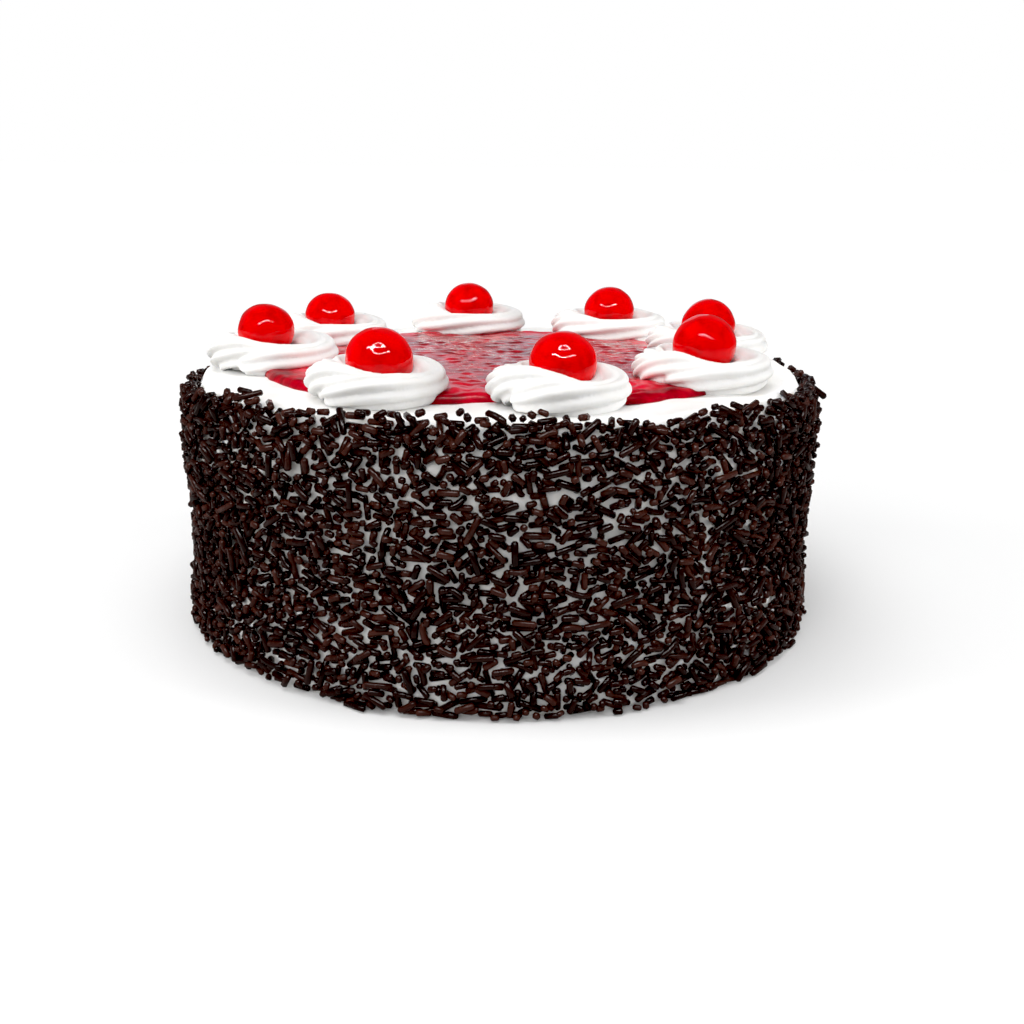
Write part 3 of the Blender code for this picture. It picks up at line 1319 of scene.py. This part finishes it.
    def build(self, material: bpy.types.Material) -> bpy.types.Object:
        """Makes the rosette in one closed skin.

        Args:
            material: Its finish.

        Returns:
            The piece.
        """
        points, skin = self._rope()
        start = np.arange(self.round)
        end = len(points) - self.round + start
        ends = [start[::-1][None, :], end[None, :]]
        piece = add_mesh(f"cream_rosette_{self.number}", points, [skin, *ends])
        fix_normals(piece)
        remesh = piece.modifiers.new("one skin", "REMESH")
        remesh.mode = "VOXEL"
        remesh.voxel_size = self.voxel
        soften = piece.modifiers.new("soften", "SMOOTH")
        soften.factor = 0.5
        soften.iterations = 1
        bake_modifiers(piece)
        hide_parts(f"rosette_{self.number}")
        dress(piece, material)
        return piece


def bake_modifiers(piece: bpy.types.Object) -> None:
    """Replaces a piece's mesh with what its modifiers make of it."""
    depsgraph = bpy.context.evaluated_depsgraph_get()
    done = bpy.data.meshes.new_from_object(piece.evaluated_get(depsgraph))
    piece.modifiers.clear()
    old = piece.data
    piece.data = done
    bpy.data.meshes.remove(old)
    done.shade_smooth()


# ---------------------------------------------------------------- the cherries


@dataclass
class Cherry:
    """A candied cherry: nearly a ball, with the pitter's dent and soft flats in its skin."""

    number: int
    low: Vector
    high: Vector
    foot: float
    dent_heading: float
    dent_rise: float
    columns: int = 64
    rows: int = 40

    def build(self, material: bpy.types.Material) -> bpy.types.Object:
        """Makes the cherry.

        Args:
            material: Its finish.

        Returns:
            The piece.
        """
        width = max(self.high.x - self.low.x, self.high.y - self.low.y)
        radius = width / 2 * 1.01
        tall = radius * 0.97
        middle = np.array([*((self.low + self.high) / 2).xy, self.high.z - tall])
        rise = np.linspace(-pi / 2, pi / 2, self.rows + 2)[1:-1]
        azimuth = np.linspace(0, TURN, self.columns, endpoint=False)
        up, around = np.meshgrid(rise, azimuth, indexing="ij")
        ray = np.stack((np.cos(up) * np.cos(around), np.cos(up) * np.sin(around), np.sin(up)), axis=-1)
        ray = np.concatenate((ray.reshape(-1, 3), [[0, 0, -1], [0, 0, 1]]))
        shape = 1 + 0.012 * Ripples(300 + self.number, 1.2, 3.0)(ray)
        shape += 0.004 * Ripples(400 + self.number, 0.35, 0.8)(ray)
        aim = np.array(
            [
                cos(self.dent_rise) * cos(self.dent_heading),
                cos(self.dent_rise) * sin(self.dent_heading),
                sin(self.dent_rise),
            ]
        )
        away = np.arccos(np.clip(ray @ aim, -1, 1))
        shape -= 0.045 * np.exp(-((away / 0.18) ** 2)) - 0.006 * np.exp(-(((away - 0.42) / 0.14) ** 2))
        points = middle + ray * shape[:, None] * np.array([radius, radius, tall])
        points[:, 2] = np.maximum(points[:, 2], self.foot)
        count = self.rows * self.columns
        ring = np.arange(self.columns)
        after = (ring + 1) % self.columns
        last = count - self.columns
        under = np.stack((after, ring, np.full_like(ring, count)), axis=1)
        over = np.stack((last + ring, last + after, np.full_like(ring, count + 1)), axis=1)
        faces = [quad_grid(self.rows, self.columns, wrap=True), under, over]
        piece = add_mesh(f"candied_cherry_{self.number}", points, faces)
        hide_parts(f"cherry_{self.number}")
        dress(piece, material)
        return piece


# ------------------------------------------------------------------ the studio


class Glow(Enum):
    """What a softbox does."""

    SOFT = "lights without being mirrored"
    SHINE = "is only mirrored"


@dataclass
class Studio:
    """A pale floor, soft light and the camera."""

    camera_place: Vector = field(default_factory=lambda: Vector((0.0043, -0.418, 0.1511)))
    camera_pitch: float = radians(16.09)
    camera_roll: float = radians(0.63)
    lens_mm: float = 42.6
    sensor_mm: float = 36.0
    black_level: float = 0.008

    def build(self) -> None:
        """Sets up the whole studio."""
        scene = bpy.context.scene
        scene.view_settings.view_transform = "Standard"
        self._deepen(scene.view_settings)
        self._camera(scene)
        self._world(scene)
        top = Vector((0, 0, 0.08))
        self._softbox("overhead", Vector((-0.12, -0.12, 1.05)), top, (0.9, 0.8), 6.4, Glow.SOFT)
        self._softbox("left_side", Vector((-1.3, -0.1, 0.38)), top, (0.8, 0.6), 13.5, Glow.SOFT)
        self._softbox("right_side", Vector((1.3, -0.1, 0.38)), top, (0.8, 0.6), 13.0, Glow.SOFT)
        self._softbox("fill", Vector((-0.3, -1.9, 0.9)), top, (1.8, 1.2), 22.0, Glow.SOFT)
        self._softbox("strip", Vector((0.02, -0.72, 0.98)), top, (1.3, 0.045), 12.0, Glow.SHINE)
        backdrop = self._softbox("backdrop", Vector((0.0, 2.2, 0.62)), top, (0.9, 1.1), 1.7, Glow.SHINE)
        backdrop.color = (0.86, 0.88, 1.0)
        self._floor()

    def _deepen(self, view: bpy.types.ColorManagedViewSettings) -> None:
        """Lets the faintest haze go black, as a print does."""
        view.use_curve_mapping = True
        view.curve_mapping.black_level = (self.black_level,) * 3
        view.curve_mapping.update()

    def _camera(self, scene: bpy.types.Scene) -> None:
        """Places the camera and makes it the scene's."""
        data = bpy.data.cameras.new("camera")
        data.lens = self.lens_mm
        data.sensor_width = self.sensor_mm
        data.clip_start = 10 * MM
        camera = bpy.data.objects.new("camera", data)
        scene.collection.objects.link(camera)
        camera.location = self.camera_place
        tilt = Euler((pi / 2 - self.camera_pitch, 0, 0)).to_matrix()
        roll = Euler((0, 0, self.camera_roll)).to_matrix()
        camera.rotation_euler = (tilt @ roll).to_euler()
        scene.camera = camera

    @staticmethod
    def _world(scene: bpy.types.Scene) -> None:
        """Surrounds the scene with even pale light, and shows a white backdrop."""
        world = bpy.data.worlds.new("studio")
        scene.world = world
        world.use_nodes = True
        nodes, links = world.node_tree.nodes, world.node_tree.links
        nodes.clear()
        ray = nodes.new("ShaderNodeLightPath")
        shown = nodes.new("ShaderNodeBackground")
        shown.inputs["Strength"].default_value = 0.34
        for kind, strength in (("Is Glossy Ray", 0.12), ("Is Camera Ray", 1.0)):
            light = nodes.new("ShaderNodeBackground")
            light.inputs["Color"].default_value = (1.0, 1.0, 1.0, 1.0)
            light.inputs["Strength"].default_value = strength
            either = nodes.new("ShaderNodeMixShader")
            links.new(ray.outputs[kind], either.inputs[0])
            links.new(shown.outputs[0], either.inputs[1])
            links.new(light.outputs[0], either.inputs[2])
            shown = either
        out = nodes.new("ShaderNodeOutputWorld")
        links.new(shown.outputs[0], out.inputs[0])

    @staticmethod
    def _softbox(
        name: str,
        place: Vector,
        aim: Vector,
        sides: tuple[float, float],
        watts: float,
        glow: Glow,
    ) -> bpy.types.AreaLight:
        """Hangs one softbox.

        Args:
            name: Its name.
            place: Where it hangs.
            aim: What it points at.
            sides: Its width and its height.
            watts: Its power.
            glow: Whether it lights the cake or is only mirrored in it.

        Returns:
            Its light.
        """
        data = bpy.data.lights.new(name, "AREA")
        data.shape = "RECTANGLE"
        data.size, data.size_y = sides
        data.energy = watts
        lamp = bpy.data.objects.new(name, data)
        bpy.context.scene.collection.objects.link(lamp)
        lamp.visible_camera = False
        lamp.visible_glossy = glow is Glow.SHINE
        lamp.visible_diffuse = glow is Glow.SOFT
        lamp.location = place
        lamp.rotation_euler = (aim - place).to_track_quat("-Z", "Y").to_euler()
        return data

    @staticmethod
    def _floor() -> None:
        """Lays the floor the cake stands on."""
        reach = 40.0
        corners = np.array([[-reach, -reach, 0], [reach, -reach, 0], [reach, reach, 0], [-reach, reach, 0]])
        floor = add_mesh("floor", corners, [np.array([[0, 1, 2, 3]])])
        floor.data.materials.append(FloorFinish().material())


# -------------------------------------------------------------------- the cake


@dataclass
class Cake:
    """The whole cake, from the sizes of its CAD nodes."""

    rosette_count: int = 8
    fit_gap: float = 0.3 * MM
    icing_white: Colour = (0.92, 0.915, 0.9)
    icing_shade: Colour = (0.89, 0.88, 0.86)

    def build(self) -> None:
        """Builds every part of the cake."""
        cake_low, cake_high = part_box("iced_cake")
        gel_low, gel_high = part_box("cherry_gel")
        top = gel_low.z - self.fit_gap
        outline = Outline(coat_radius=(cake_high.x - cake_low.x) / 2, height=top)
        icing = Icing(outline)
        icing.build(CreamFinish("cake_icing", self.icing_white, self.icing_shade, 0.55).material())
        coat = SprinkleCoat(icing)
        coat.strew()
        coat.stand_some()
        coat.lay_at_foot()
        coat.build(SprinkleFinish().material())

        gel = GelPool(base=top, top=gel_high.z)
        gel.build(GelFinish().material())

        cream = CreamFinish("piped_cream").material()
        candied = CherryFinish().material()
        seams = (-142, -142, -135, -100, 60, 150, 200, -120)
        humps = (0.5, 1.0, 0.5, 0.4, 0.4, 0.4, 0.3, 0.4)
        dents = ((-84, 31), (-92, 34), (-76, 33), (-70, 35), (-100, 30), (-90, 34), (-80, 32), (-100, 33))
        for index in range(self.rosette_count):
            number = index + 1
            low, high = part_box(f"rosette_{number}")
            middle = (low + high) / 2
            rosette = Rosette(
                number, middle, (high.x - low.x) / 2, gel, outline, radians(seams[index]), humps[index]
            )
            rosette.build(cream)
            low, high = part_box(f"cherry_{number}")
            heading, rise = dents[index]
            Cherry(number, low, high, gel.top, radians(heading), radians(rise)).build(candied)


def main() -> None:
    """Loads the frame, builds the cake and the studio, and notes the sizes."""
    logging.basicConfig(level=logging.INFO, format="%(name)s: %(message)s")
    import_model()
    Cake().build()
    Studio().build()
    bpy.context.view_layer.update()


if __name__ == "__main__":
    main()
